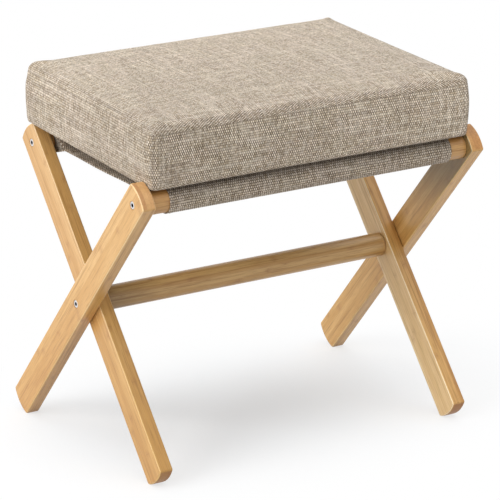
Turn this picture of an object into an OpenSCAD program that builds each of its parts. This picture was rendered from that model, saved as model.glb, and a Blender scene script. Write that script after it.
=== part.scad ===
// Folding footstool: two crossed pairs of bamboo legs turn on one axis, a cloth sling
// joins their two top rails, and a boxed cushion lies on the rails.
// Millimetres. The origin is on the floor below the pivot axis. X runs along the rails,
// Y from the front to the back, and Z up.

/* [Frame] */
// Width over the outer legs
frame_width = 480; // [380:10:600]
// Length of each leg from tip to tip
leg_length = 480; // [400:5:560]
// Lean of each leg from upright when the stool stands open
leg_lean = 41.2; // [36:0.2:44]
// Distance from a leg's upper end to the axis of the top rail that it carries
rail_inset = 21.5; // [19:0.5:25]

/* [Legs] */
// Width of a leg
leg_width = 40; // [34:1:44]
// Thickness of a leg
leg_thickness = 18; // [15:1:22]
// Radius of the bow across a leg's end
leg_end_radius = 45; // [40:1:80]
// Radius of the corners beside the bow
leg_corner_radius = 3; // [2.5:0.5:6]
// Rounding along a leg's edges
leg_edge_radius = 2; // [0.5:0.25:2]
// Depth of the small flat sanded on a foot where it stands
foot_flat_depth = 0.4; // [0.2:0.1:0.8]

/* [Rails] */
// Diameter of the two top rails
rail_diameter = 30; // [24:1:34]
// Diameter of the stretcher on the pivot axis
stretcher_diameter = 30; // [24:1:34]
// Chamfer round the ends of the rails
rail_chamfer = 1; // [0.5:0.5:2]
// Chamfer round the ends of the stretcher
stretcher_chamfer = 2.5; // [1:0.5:4]

/* [Screws] */
// Diameter of the screws
screw_diameter = 6; // [5:0.5:8]
// Diameter of a screw's head
head_diameter = 10; // [9:0.5:13]
// Height of a screw's head
head_height = 4; // [3:0.5:6]
// Depth of a head's top below the face of the leg
head_sink = 0.4; // [0.2:0.1:1]
// Size of the hex socket across its flats
socket_across = 4; // [3:0.5:5]
// Depth of the hex socket
socket_depth = 2.4; // [1.5:0.1:3]
// Radial room round a head in its counterbore
head_room = 0.3; // [0.2:0.1:0.6]
// Radial running clearance of a screw's shank
shank_clearance = 0.06; // [0.02:0.01:0.1]
// Diameter of a threaded insert
insert_diameter = 10; // [9:0.5:14]
// Length of a threaded insert
insert_length = 15; // [12:1:20]
// Length of screw that holds in an insert
thread_engagement = 12; // [8:1:12]

/* [Pivot] */
// Gap between an outer and an inner leg
pivot_gap = 1; // [0.8:0.1:2]
// Diameter of the spacer washer in that gap
spacer_diameter = 22; // [16:1:30]
// Side play beside the spacer and under the pivot screw's head
side_play = 0.1; // [0.05:0.05:0.3]

/* [Sling] */
// Bare rail between a side of the sling and the inner leg beside it
sling_side_room = 5; // [2:1:60]
// Thickness of the sling's cloth
sling_cloth = 1.5; // [1:0.1:2.5]
// Room between a rail and the cloth round it
sling_room = 0.1; // [0.05:0.05:0.3]
// Distance from a rail's axis to the seam that closes its sleeve
seam_distance = 44; // [36:1:60]
// Drop of the sling's panel below the rails' axes
panel_sag = 2.4; // [0:0.2:8]
// Gap between the front sleeve and the panel, where the sling bends as the stool folds
sleeve_gap = 0.05; // [0.02:0.01:0.2]

/* [Cushion] */
// Room between an end of the cushion and the outer leg beside it
cushion_end_room = 1.5; // [1.5:0.5:30]
// Reach of the cushion past the axis of each top rail
cushion_overhang = 18.6; // [14:0.2:40]
// Height of the cushion's boxed sides
cushion_height = 80; // [60:1:110]
// Rise of the crown at the middle of the top
cushion_crown = 5; // [0:0.5:12]
// Radius of the upright corners
cushion_corner_radius = 18; // [18:1:30]
// Rounding of the top edge
top_edge_radius = 12; // [6:1:13]
// Rounding of the bottom edge
bottom_edge_radius = 7; // [5:1:10]
// Inward bow of each side between its corners
side_draw = 2.5; // [0:0.5:6]
// Inward slope of the sides above and below mid height
side_bulge = 2; // [0:0.5:3]
// Gap between the sleeves and the cushion's base
cushion_gap = 1.6; // [1.6:0.1:3]
// Thickness of the cover's cloth
cover_thickness = 1.5; // [1:0.1:2]
// Thickness of the wadding round the foam
wadding_thickness = 6; // [4:0.5:12]
// Room round a leg's top in the cushion's underside
notch_room = 0.4; // [0.3:0.1:2]

/* [Fasteners of the cushion] */
// Length of each hook and loop strip
strip_length = 90; // [40:5:120]
// Width of the hook and loop strips
strip_width = 16; // [10:1:24]
// Thickness of one strip
strip_thickness = 0.6; // [0.4:0.1:0.6]
// Distance from a strip's outer end to the side of the sling
strip_end_room = 23; // [4:1:60]
// Distance from an end of the zip to the end of the cushion
zip_end_room = 40.5; // [30:0.5:120]
// Width of the zip's tape
zip_width = 24; // [16:1:30]
// Thickness of the zip's tape
zip_tape = 0.8; // [0.6:0.1:1]
// Width of the zip's row of teeth
zip_teeth_width = 5; // [4:0.5:7]
// Height of the teeth above the tape
zip_teeth_height = 1; // [0.6:0.1:1.5]
// Length of the zip's slider
slider_length = 9; // [7:1:14]
// Length of the slider's pull
pull_length = 22; // [14:1:30]

/* [Hidden] */

$fn = 64;
bamboo = [0.87, 0.68, 0.43];
bamboo_shade = [0.78, 0.6, 0.38];
steel = [0.75, 0.75, 0.77];
brass = [0.8, 0.65, 0.3];
nylon = [0.92, 0.91, 0.88];
linen = [0.75, 0.7, 0.62];
linen_shade = [0.6, 0.56, 0.5];
wool = [0.93, 0.92, 0.88];
foam = [0.95, 0.9, 0.7];

// Overrun of every cutting tool past the face that it cuts
cut = 1;
// Segments in a quarter of a leg's rounded edge, its corners and its bow
edge_steps = 4;
corner_steps = 4;
bow_steps = 10;

// Where the legs stand along X
outer_face_x = frame_width / 2;
outer_inside_x = outer_face_x - leg_thickness;
inner_outside_x = outer_inside_x - pivot_gap;
inner_inside_x = inner_outside_x - leg_thickness;

// The outline of a leg's end: a bow between two rounded corners
half_leg = leg_length / 2;
bow_centre = half_leg - leg_end_radius;
corner_across = leg_width / 2 - leg_corner_radius;
corner_swing = asin(corner_across / (leg_end_radius - leg_corner_radius));
corner_along = bow_centre + (leg_end_radius - leg_corner_radius) * cos(corner_swing);
corner_reach = corner_along * cos(leg_lean) + corner_across * sin(leg_lean) + leg_corner_radius;
bow_reach = bow_centre * cos(leg_lean) + leg_end_radius;
foot_reach = leg_lean > corner_swing ? corner_reach : bow_reach;

// Heights of the axes, and the place of the rails
pivot_z = foot_reach - foot_flat_depth;
rail_reach = half_leg - rail_inset;
rail_y = rail_reach * sin(leg_lean);
rail_z = pivot_z + rail_reach * cos(leg_lean);
rail_radius = rail_diameter / 2;
sleeve_radius = rail_radius + sling_room + sling_cloth;

// The screws: a head sunk in a counterbore, and a shank that ends in an insert
counterbore_depth = head_sink + head_height + side_play;
shank_hole_radius = screw_diameter / 2 + shank_clearance;
insert_pocket = insert_length + cut;
rail_screw_end = leg_thickness + thread_engagement;
pivot_screw_end = 2 * leg_thickness + pivot_gap + thread_engagement;

// The sling: sleeves drawn to a seam, and the panel between the two seams
sling_width = 2 * (inner_inside_x - sling_side_room);
seam_dip = asin(panel_sag / seam_distance);
seam_y = rail_y - seam_distance * cos(seam_dip);
seam_z = rail_z - panel_sag;
wrap_angle = acos(sleeve_radius / seam_distance);

// The cushion, and the notch that clears an inner leg's top as the cushion turns
cushion_length = 2 * (outer_inside_x - cushion_end_room);
cushion_depth = 2 * (rail_y + cushion_overhang);
cushion_z = rail_z + sleeve_radius + cushion_gap;
top_reach = norm([corner_along - rail_reach, corner_across]) + leg_corner_radius;
notch_radius = top_reach + notch_room;
foam_inset = cover_thickness + wadding_thickness;
side_steps = 5;
end_steps = 4;
round_steps = 4;

// Places of the strips along the rear rail, and the length of the zip
strip_offset = sling_width / 2 - strip_end_room - strip_length / 2;
zip_length = cushion_length - 2 * zip_end_room;

// Points of a leg's outline, inset from its edge, as [across, along]
function end_points(inset) = [
    for (i = [0:corner_steps]) let (a = 90 - i * (90 - corner_swing) / corner_steps)
        [corner_across + (leg_corner_radius - inset) * sin(a),
         corner_along + (leg_corner_radius - inset) * cos(a)],
    for (i = [1:bow_steps - 1]) let (a = corner_swing - i * 2 * corner_swing / bow_steps)
        [(leg_end_radius - inset) * sin(a), bow_centre + (leg_end_radius - inset) * cos(a)],
    for (i = [0:corner_steps]) let (a = -corner_swing - i * (90 - corner_swing) / corner_steps)
        [-corner_across + (leg_corner_radius - inset) * sin(a),
         corner_along + (leg_corner_radius - inset) * cos(a)]];
function leg_outline(inset) = concat(end_points(inset), -end_points(inset));

// Outlines through a leg's thickness, as [inset, place along X]
edge_layers = concat(
    [for (i = [0:edge_steps]) let (a = 90 - i * 90 / edge_steps)
        [leg_edge_radius * (1 - cos(a)), leg_edge_radius * (1 - sin(a))]],
    [for (i = [0:edge_steps]) let (a = i * 90 / edge_steps)
        [leg_edge_radius * (1 - cos(a)), leg_thickness - leg_edge_radius * (1 - sin(a))]]);

// Faces of a solid made of closed rings, each given in the same order
function ring_faces(rings, count) = concat(
    [for (r = [0:rings - 2]) for (i = [0:count - 1])
        let (j = (i + 1) % count, a = r * count)
        each [[a + i, a + count + i, a + count + j], [a + i, a + count + j, a + j]]],
    [[for (i = [0:count - 1]) i]],
    [[for (i = [count - 1:-1:0]) (rings - 1) * count + i]]);

// A plain leg with rounded edges: its pivot at the origin, its inside face at X = 0
module leg_blank() {
    outlines = [for (layer = edge_layers) leg_outline(layer[0])];
    points = [for (k = [0:len(edge_layers) - 1]) for (p = outlines[k])
        [edge_layers[k][1], p[0], p[1]]];
    polyhedron(points, ring_faces(len(edge_layers), len(outlines[0])), convexity = 2);
}

// A cylinder along X from its start to its end
module bar(radius, start, end) {
    translate([start, 0, 0]) rotate([0, 90, 0]) cylinder(h = end - start, r = radius);
}

// A screw hole through a leg, with a counterbore in its outside face if sunk
module screw_hole(sunk) {
    bar(shank_hole_radius, -cut, leg_thickness + cut);
    if (sunk) {
        bar(head_diameter / 2 + head_room, leg_thickness - counterbore_depth, leg_thickness + cut);
    }
}

// A leg on the right, leaned, with the flat where its foot stands
module right_leg(inside_x, lean, pivot_sunk) {
    difference() {
        translate([inside_x, 0, pivot_z]) rotate([lean, 0, 0]) difference() {
            leg_blank();
            screw_hole(pivot_sunk);
            translate([0, 0, rail_reach]) screw_hole(true);
        }
        translate([inside_x - cut, -leg_length, -leg_length])
            cube([leg_thickness + 2 * cut, 2 * leg_length, leg_length]);
    }
}

module on_both_sides() {
    children();
    mirror([1, 0, 0]) children();
}

module outer_leg() {
    color(bamboo) right_leg(outer_inside_x, leg_lean, true);
}

module inner_leg() {
    color(bamboo) right_leg(inner_inside_x, -leg_lean, false);
}

module outer_right_leg() { outer_leg(); }
module outer_left_leg() { mirror([1, 0, 0]) outer_leg(); }
module inner_right_leg() { inner_leg(); }
module inner_left_leg() { mirror([1, 0, 0]) inner_leg(); }

// A round rail along X with chamfered ends and a pocket for an insert in each
module round_rail(radius, half_length, chamfer) {
    difference() {
        rotate([0, 90, 0]) rotate_extrude() polygon([
            [0, -half_length], [radius - chamfer, -half_length], [radius, chamfer - half_length],
            [radius, half_length - chamfer], [radius - chamfer, half_length], [0, half_length]]);
        on_both_sides() bar(insert_diameter / 2, half_length - insert_pocket, half_length + cut);
    }
}

module at_front_rail() { translate([0, -rail_y, rail_z]) children(); }
module at_rear_rail() { translate([0, rail_y, rail_z]) children(); }
module at_pivot() { translate([0, 0, pivot_z]) children(); }

module front_rail() {
    color(bamboo) at_front_rail() round_rail(rail_radius, outer_inside_x, rail_chamfer);
}

module rear_rail() {
    color(bamboo) at_rear_rail() round_rail(rail_radius, inner_inside_x, rail_chamfer);
}

module stretcher() {
    color(bamboo_shade) at_pivot()
        round_rail(stretcher_diameter / 2, inner_inside_x, stretcher_chamfer);
}

// Two threaded inserts, flush with the ends of a rail
module inserts(half_length) {
    color(brass) on_both_sides() difference() {
        bar(insert_diameter / 2, half_length - insert_length, half_length);
        bar(screw_diameter / 2, half_length - insert_length - cut, half_length + cut);
    }
}

module front_rail_inserts() { at_front_rail() inserts(outer_inside_x); }
module rear_rail_inserts() { at_rear_rail() inserts(inner_inside_x); }
module stretcher_inserts() { at_pivot() inserts(inner_inside_x); }

// Two screws with their heads sunk in the faces at face_x, reaching inwards
module screws(face_x, reach) {
    head_top = face_x - head_sink;
    head_edge = head_height / 8;
    color(steel) on_both_sides() difference() {
        union() {
            bar(screw_diameter / 2, face_x - reach, head_top - head_height / 2);
            translate([head_top, 0, 0]) rotate([0, -90, 0]) rotate_extrude() polygon([
                [0, 0], [head_diameter / 2 - head_edge, 0], [head_diameter / 2, head_edge],
                [head_diameter / 2, head_height], [0, head_height]]);
        }
        translate([head_top - socket_depth, 0, 0]) rotate([0, 90, 0])
            cylinder(h = socket_depth + cut, r = socket_across / 2 / cos(30), $fn = 6);
    }
}

module front_rail_screws() { at_front_rail() screws(outer_face_x, rail_screw_end); }
module rear_rail_screws() { at_rear_rail() screws(inner_outside_x, rail_screw_end); }
module pivot_screws() { at_pivot() screws(outer_face_x, pivot_screw_end); }

module pivot_spacers() {
    color(nylon) at_pivot() on_both_sides() difference() {
        bar(spacer_diameter / 2, inner_outside_x, outer_inside_x - side_play);
        bar(shank_hole_radius, inner_outside_x - cut, outer_inside_x + cut);
    }
}

// Extrudes a drawing of the Y-Z plane to the width of the sling
module sling_extrude() {
    rotate([90, 0, 90]) translate([0, 0, -sling_width / 2]) linear_extrude(sling_width) children();
}

// The wedge between the lines from a rail's axis to where its cloth leaves the rail,
// drawn with the seam along +Y
module wrap_wedge(reach) {
    polygon([[0, 0], [reach * cos(wrap_angle), reach * sin(wrap_angle)],
        [reach / cos(wrap_angle), 0], [reach * cos(wrap_angle), -reach * sin(wrap_angle)]]);
}

// The cloth that lies round a rail
module sleeve_section() {
    difference() {
        circle(sleeve_radius);
        circle(rail_radius + sling_room);
        wrap_wedge(2 * sleeve_radius);
    }
}

// The two layers from the rail to the seam
module tail_section() {
    inner_tip = seam_distance - sling_cloth / sin(90 - wrap_angle);
    difference() {
        polygon([[0, 0], sleeve_radius * [cos(wrap_angle), sin(wrap_angle)],
            [seam_distance, 0], sleeve_radius * [cos(wrap_angle), -sin(wrap_angle)]]);
        polygon([[-cut, 0], (sleeve_radius - sling_cloth) * [cos(wrap_angle), sin(wrap_angle)],
            [inner_tip, 0], (sleeve_radius - sling_cloth) * [cos(wrap_angle), -sin(wrap_angle)]]);
    }
}

module rear_section() { translate([rail_y, rail_z]) rotate(180 + seam_dip) children(); }
module front_section() { mirror([1, 0]) rear_section() children(); }

module sling_front_sleeve() {
    color(linen_shade) sling_extrude() front_section() sleeve_section();
}

module sling_rear_sleeve() {
    color(linen_shade) sling_extrude() rear_section() sleeve_section();
}

module sling_panel() {
    color(linen_shade) union() {
        sling_extrude() front_section() translate([sleeve_gap, 0]) tail_section();
        sling_extrude() rear_section() tail_section();
        translate([-sling_width / 2, -seam_y - sling_cloth, seam_z - sling_cloth / 2])
            cube([sling_width, 2 * (seam_y + sling_cloth), sling_cloth]);
    }
}

// One ring of the cushion's side, inset from its widest outline, as points at a height
function cushion_ring(inset, height, skin) =
    let (x = cushion_length / 2 - cushion_corner_radius,
         y = cushion_depth / 2 - cushion_corner_radius,
         r = cushion_corner_radius - skin - inset,
         corners = [[x, y], [-x, y], [-x, -y], [x, -y]])
    [for (k = [0:3])
        let (c = corners[k], n = corners[(k + 1) % 4],
             steps = k % 2 == 0 ? side_steps + 1 : end_steps + 1,
             out = [cos(90 * (k + 1)), sin(90 * (k + 1))])
        each concat(
            [for (i = [0:round_steps]) let (a = 90 * (k + i / round_steps))
                [c[0] + r * cos(a), c[1] + r * sin(a), height]],
            [for (i = [1:steps - 1])
                let (t = i / steps, p = c + (n - c) * t + out * (r - 4 * side_draw * t * (1 - t)))
                [p[0], p[1], height]])];

// Inset and height of the rings from the base to the top edge
function cushion_profile(skin) =
    let (low = bottom_edge_radius - skin / 2, high = top_edge_radius - skin / 2,
         tall = cushion_height - 2 * skin)
    concat(
        [for (i = [0:2]) let (a = 45 * i) [low * (1 - sin(a)), low * (1 - cos(a))]],
        [for (f = [1, 2]) let (z = low + f / 3 * (tall - low - high)) [0, z]],
        [for (i = [0:3]) let (a = 30 * i)
            [high * (1 - cos(a)), tall - high + high * sin(a)]]);

function lean_in(z, tall) = side_bulge * pow(2 * z / tall - 1, 2);

// The cushion's form, drawn in by the thickness of a skin
module cushion_form(skin) {
    tall = cushion_height - 2 * skin;
    profile = cushion_profile(skin);
    side_rings = [for (p = profile) cushion_ring(p[0] + lean_in(p[1], tall), p[1] + skin, skin)];
    rim = side_rings[len(side_rings) - 1];
    crown_shares = [0.9, 0.7, 0.4];
    crown_rings = [for (s = crown_shares) [for (p = rim)
        [p[0] * s, p[1] * s, p[2] + cushion_crown * (1 - s * s)]]];
    rings = concat(side_rings, crown_rings);
    count = len(rim);
    last = (len(rings) - 1) * count;
    top = len(rings) * count;
    points = concat([for (ring = rings) each ring],
        [[0, 0, tall + skin + cushion_crown], [0, 0, skin]]);
    faces = concat(
        [for (r = [0:len(rings) - 2]) for (i = [0:count - 1])
            let (j = (i + 1) % count, a = r * count)
            each [[a + i, a + count + j, a + j], [a + i, a + count + i, a + count + j]]],
        [for (i = [0:count - 1]) [last + i, top, last + (i + 1) % count]],
        [for (i = [0:count - 1]) [i, (i + 1) % count, top + 1]]);
    polyhedron(points, faces, convexity = 4);
}

module at_cushion() { translate([0, 0, cushion_z]) children(); }

// Round pockets about the rear rail's axis where the inner legs' tops press into the base
module leg_notches(skin) {
    at_rear_rail() on_both_sides()
        bar(notch_radius + skin, inner_inside_x - pivot_gap - skin, outer_face_x);
}

module cushion_cover() {
    color(linen) difference() {
        at_cushion() cushion_form(0);
        leg_notches(0);
        difference() {
            at_cushion() cushion_form(cover_thickness);
            leg_notches(cover_thickness);
        }
    }
}

// The foam's block, with its upright corners rounded like the cover's
module foam_block() {
    inset = foam_inset + side_draw + side_bulge;
    radius = cushion_corner_radius - cover_thickness;
    x = cushion_length / 2 - inset;
    y = cushion_depth / 2 - inset;
    translate([0, 0, foam_inset]) linear_extrude(cushion_height - 2 * foam_inset) union() {
        square([2 * x, 2 * (y - radius)], center = true);
        square([2 * (x - radius), 2 * y], center = true);
        for (sx = [-1, 1], sy = [-1, 1]) translate([sx * (x - radius), sy * (y - radius)])
            circle(radius);
    }
}

module cushion_wadding() {
    color(wool) difference() {
        at_cushion() cushion_form(cover_thickness);
        at_cushion() foam_block();
        leg_notches(cover_thickness);
    }
}

module cushion_foam() {
    color(foam) difference() {
        at_cushion() foam_block();
        leg_notches(cover_thickness);
    }
}

// Two strips side by side over the rear rail, as far below the base as drop
module strips(drop) {
    for (s = [-1, 1]) translate([s * strip_offset - strip_length / 2, rail_y - strip_width / 2,
            cushion_z - drop - strip_thickness])
        cube([strip_length, strip_width, strip_thickness]);
}

module cushion_loop_strips() { color(linen_shade) strips(0); }
module sling_hook_strips() { color(linen_shade) strips(strip_thickness); }

// A band of the cushion's back at mid height, as a layer between two skins
module back_band(length, width, under, over) {
    intersection() {
        difference() {
            at_cushion() cushion_form(-over);
            at_cushion() cushion_form(-under);
        }
        translate([-length / 2, 0, cushion_z + (cushion_height - width) / 2])
            cube([length, cushion_depth, width]);
    }
}

module cushion_zip() {
    color(linen_shade) union() {
        back_band(zip_length, zip_width, 0, zip_tape);
        back_band(zip_length, zip_teeth_width, 0, zip_tape + zip_teeth_height);
    }
}

// The slider at the left end of the zip, and its pull hanging down
module cushion_zip_slider() {
    slider_x = -zip_length / 2 + slider_length;
    teeth_y = cushion_depth / 2 + zip_tape + zip_teeth_height;
    color(steel) translate([slider_x, teeth_y, cushion_z + cushion_height / 2]) {
        translate([-slider_length / 2, 0, -zip_teeth_width / 2])
            cube([slider_length, zip_teeth_height, zip_teeth_width]);
        translate([-zip_teeth_width / 2, 0, -pull_length])
            cube([zip_teeth_width, zip_teeth_height, pull_length]);
    }
}

outer_left_leg();
outer_right_leg();
front_rail();
front_rail_inserts();
front_rail_screws();
inner_left_leg();
inner_right_leg();
rear_rail();
rear_rail_inserts();
rear_rail_screws();
stretcher();
stretcher_inserts();
pivot_screws();
pivot_spacers();
sling_front_sleeve();
sling_rear_sleeve();
sling_panel();
cushion_cover();
cushion_wadding();
cushion_foam();
cushion_loop_strips();
sling_hook_strips();
cushion_zip();
cushion_zip_slider();
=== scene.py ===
import math

import bpy
import numpy as np
from mathutils import Euler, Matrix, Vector


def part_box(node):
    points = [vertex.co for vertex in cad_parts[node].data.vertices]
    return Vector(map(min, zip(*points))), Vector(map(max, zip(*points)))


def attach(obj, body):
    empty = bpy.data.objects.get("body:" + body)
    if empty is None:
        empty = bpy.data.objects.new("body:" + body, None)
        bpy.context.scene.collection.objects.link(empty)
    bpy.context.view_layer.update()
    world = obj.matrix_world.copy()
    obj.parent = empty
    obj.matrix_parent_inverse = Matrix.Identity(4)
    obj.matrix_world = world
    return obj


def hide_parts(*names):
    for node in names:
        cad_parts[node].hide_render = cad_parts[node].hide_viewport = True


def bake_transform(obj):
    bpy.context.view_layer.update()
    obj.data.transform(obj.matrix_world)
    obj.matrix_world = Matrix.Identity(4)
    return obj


# The folding footstool's looks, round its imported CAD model. Metres; X runs along the
# rails, Y from the front to the back, and Z up.
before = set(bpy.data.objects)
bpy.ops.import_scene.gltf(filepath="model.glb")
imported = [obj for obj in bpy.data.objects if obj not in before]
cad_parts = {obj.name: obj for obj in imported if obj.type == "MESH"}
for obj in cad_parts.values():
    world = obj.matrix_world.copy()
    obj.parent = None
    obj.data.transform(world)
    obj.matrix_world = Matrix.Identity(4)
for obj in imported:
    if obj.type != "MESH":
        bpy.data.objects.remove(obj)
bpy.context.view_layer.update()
scene = bpy.context.scene


def middle(node):
    """The middle of a CAD node's box."""
    low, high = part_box(node)
    return (low + high) / 2


# Places read from the CAD model
pivot = middle("stretcher")
front_axis = middle("front_rail")
rear_axis = middle("rear_rail")
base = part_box("cushion_cover")[0].z
sling_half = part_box("sling_panel")[1].x

# Sizes of the frame, the sling and the zip, as in the CAD source
leg_lean = math.radians(41.2)
outer_leg_x = 0.231
inner_leg_x = 0.212
rail_radius = 0.015
sling_room = 0.0001
cloth_thickness = 0.0015
seam_distance = 0.044
panel_sag = 0.0024
zip_length = 0.36

# The seams that close the sleeves: how far from the middle, and how high
seam_y = rear_axis.y - seam_distance
seam_z = rear_axis.z - panel_sag


# Finishes
class Value:
    """A number, colour or vector that changes over a surface. Arithmetic on it adds Math nodes."""

    def __init__(self, finish, socket):
        self.finish, self.socket = finish, socket

    def also(self, output):
        """Another output of the same node."""
        return Value(self.finish, self.socket.node.outputs[output])

    def math(self, operation, *others):
        """A Math node on this value and the others."""
        return self.finish.node(
            "ShaderNodeMath", {"operation": operation}, dict(enumerate((self, *others)))
        )

    def __add__(self, other):
        return self.math("ADD", other)

    def __sub__(self, other):
        return self.math("SUBTRACT", other)

    def __mul__(self, other):
        return self.math("MULTIPLY", other)

    def __truediv__(self, other):
        return self.math("DIVIDE", other)

    def __rsub__(self, other):
        return self * -1 + other

    __radd__ = __add__
    __rmul__ = __mul__


class Finish:
    """A procedural material under its maker's hands, or the world with kind="worlds"."""

    def __init__(self, name, kind="materials"):
        self.material = getattr(bpy.data, kind).new(name)
        self.material.use_nodes = True
        self.tree = self.material.node_tree
        self.tree.nodes.clear()

    def node(self, kind, settings=None, inputs=None, output=0):
        """A node of that kind: its settings come first, then its sockets' values or links."""
        node = self.tree.nodes.new(kind)
        for name, value in (settings or {}).items():
            setattr(node, name, value)
        for name, value in (inputs or {}).items():
            if isinstance(value, Value):
                self.tree.links.new(value.socket, node.inputs[name])
            else:
                node.inputs[name].default_value = value
        return Value(self, node.outputs[output]) if node.outputs else node

    def split(self, vector):
        """The three numbers of a vector."""
        parts = self.node("ShaderNodeSeparateXYZ", inputs={0: vector})
        return parts, parts.also(1), parts.also(2)

    def place(self, centre=None, turn=(0, 0, 0)):
        """Where a point is on its object, from a centre and turned back where one is given."""
        point = self.node("ShaderNodeTexCoord", output=3)
        if centre is not None:
            inputs = {"Vector": point, "Location": centre, "Rotation": turn}
            point = self.node("ShaderNodeMapping", {"vector_type": "TEXTURE"}, inputs)
        return self.split(point)

    def join(self, x, y=0.0, z=0.0):
        """A vector from three numbers."""
        return self.node("ShaderNodeCombineXYZ", inputs={0: x, 1: y, 2: z})

    def floor(self, value):
        """The whole number at or below the value."""
        return value.math("FLOOR")

    def chance(self, key):
        """A fixed random number from 0 to 1 for each value of the key."""
        return self.node("ShaderNodeTexWhiteNoise", {"noise_dimensions": "1D"}, {"W": key})

    def noise(self, x, y=0.0, z=0.0, detail=2.0, roughness=0.5):
        """Soft noise about 0.5 at a point whose sizes are already in grains."""
        return self.node(
            "ShaderNodeTexNoise",
            {"noise_dimensions": "3D"},
            {"Vector": self.join(x, y, z), "Scale": 1.0, "Detail": detail, "Roughness": roughness},
        )

    def ease(self, value, low, high):
        """0 below low, 1 above high, and a smooth step between."""
        return self.node(
            "ShaderNodeMapRange",
            {"interpolation_type": "SMOOTHSTEP"},
            {"Value": value, "From Min": low, "From Max": high},
        )

    def mix(self, first, second, share, blend="MIX"):
        """One colour turning into another, or multiplied by it, by the share."""
        colour = {6: first, 7: second, 0: share}
        return self.node(
            "ShaderNodeMix",
            {"data_type": "RGBA", "blend_type": blend},
            {k: v if isinstance(v, Value) or k == 0 else (*v, 1.0) for k, v in colour.items()},
            output=2,
        )

    def bump(self, height, depth, strength=1.0):
        """A normal that leans as a relief of that height and depth does."""
        return self.node(
            "ShaderNodeBump", inputs={"Height": height, "Distance": depth, "Strength": strength}
        )

    def surface(self, **inputs):
        """Closes the material with a Principled shader; names use _ for spaces."""
        values = {name.replace("_", " "): value for name, value in inputs.items()}
        self.close(self.node("ShaderNodeBsdfPrincipled", inputs=values))
        return self.material

    def close(self, shader):
        """Makes the shader the material's surface."""
        self.node("ShaderNodeOutputMaterial", inputs={"Surface": shader})


# Colours, linear
PLAIN = (1.0, 1.0, 1.0)
BAMBOO_PALE = (0.81, 0.52, 0.215)
BAMBOO_MID = (0.66, 0.374, 0.123)
BAMBOO_DARK = (0.395, 0.19, 0.05)
BAMBOO_NODE = (0.44, 0.205, 0.07)
# The painted highlight on the bamboo's rounded edges
BAMBOO_HIGHLIGHT = (0.97, 0.78, 0.46)
BAMBOO_END = (0.66, 0.35, 0.14)
BAMBOO_END_DARK = (0.47, 0.225, 0.08)
ZINC_BRIGHT = (0.86, 0.865, 0.88)
ZINC_DULL = (0.62, 0.625, 0.64)
# The painted shade in a screw's socket
SOCKET_SHADE = (0.03, 0.03, 0.045)
BRASS_BRIGHT = (0.72, 0.53, 0.22)
BRASS_DULL = (0.5, 0.33, 0.12)
NYLON_PALE = (0.78, 0.77, 0.72)
NYLON_DULL = (0.66, 0.64, 0.58)
WARP_PALE = (1.0, 0.915, 0.802)
WARP_DULL = (0.93, 0.828, 0.703)
PICK_PALE = (0.493, 0.393, 0.278)
PICK_DARK = (0.169, 0.122, 0.078)
# The painted shade in the weave's gaps
WEAVE_SHADE = (0.062, 0.037, 0.022)
CLOTH_FLUFF = (0.62, 0.58, 0.52)
DYE_PINK = (1.0, 0.97, 0.955)
DYE_STRAW = (1.0, 0.985, 0.95)
# Painted shade: on the cloth's rounded edges, on the sling beneath the cushion's edge, and on the sling
# behind the front sleeve
CLOTH_EDGE_SHADE = (0.86, 0.86, 0.87)
UNDER_CUSHION_SHADE = (0.46, 0.45, 0.44)
BEHIND_SLEEVE_SHADE = (0.8, 0.79, 0.78)
TAPE_BROWN = (0.13, 0.105, 0.085)
THREAD_PALE = (0.5, 0.43, 0.345)
COIL_BROWN = (0.2, 0.17, 0.14)

# Laminated bamboo: its layers and strips, and how far apart a strip's nodes are
layer_thickness = 0.006
strip_width = 0.0082
node_spacing = 0.235

# Linen: how far apart its ends and its picks are
end_pitch = 0.00133
pick_pitch = 0.00298


def grain_axis(turn):
    """The direction of local Z after the turn, X then Y then Z."""
    return tuple(Euler(turn).to_matrix() @ Vector((0, 0, 1)))


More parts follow.
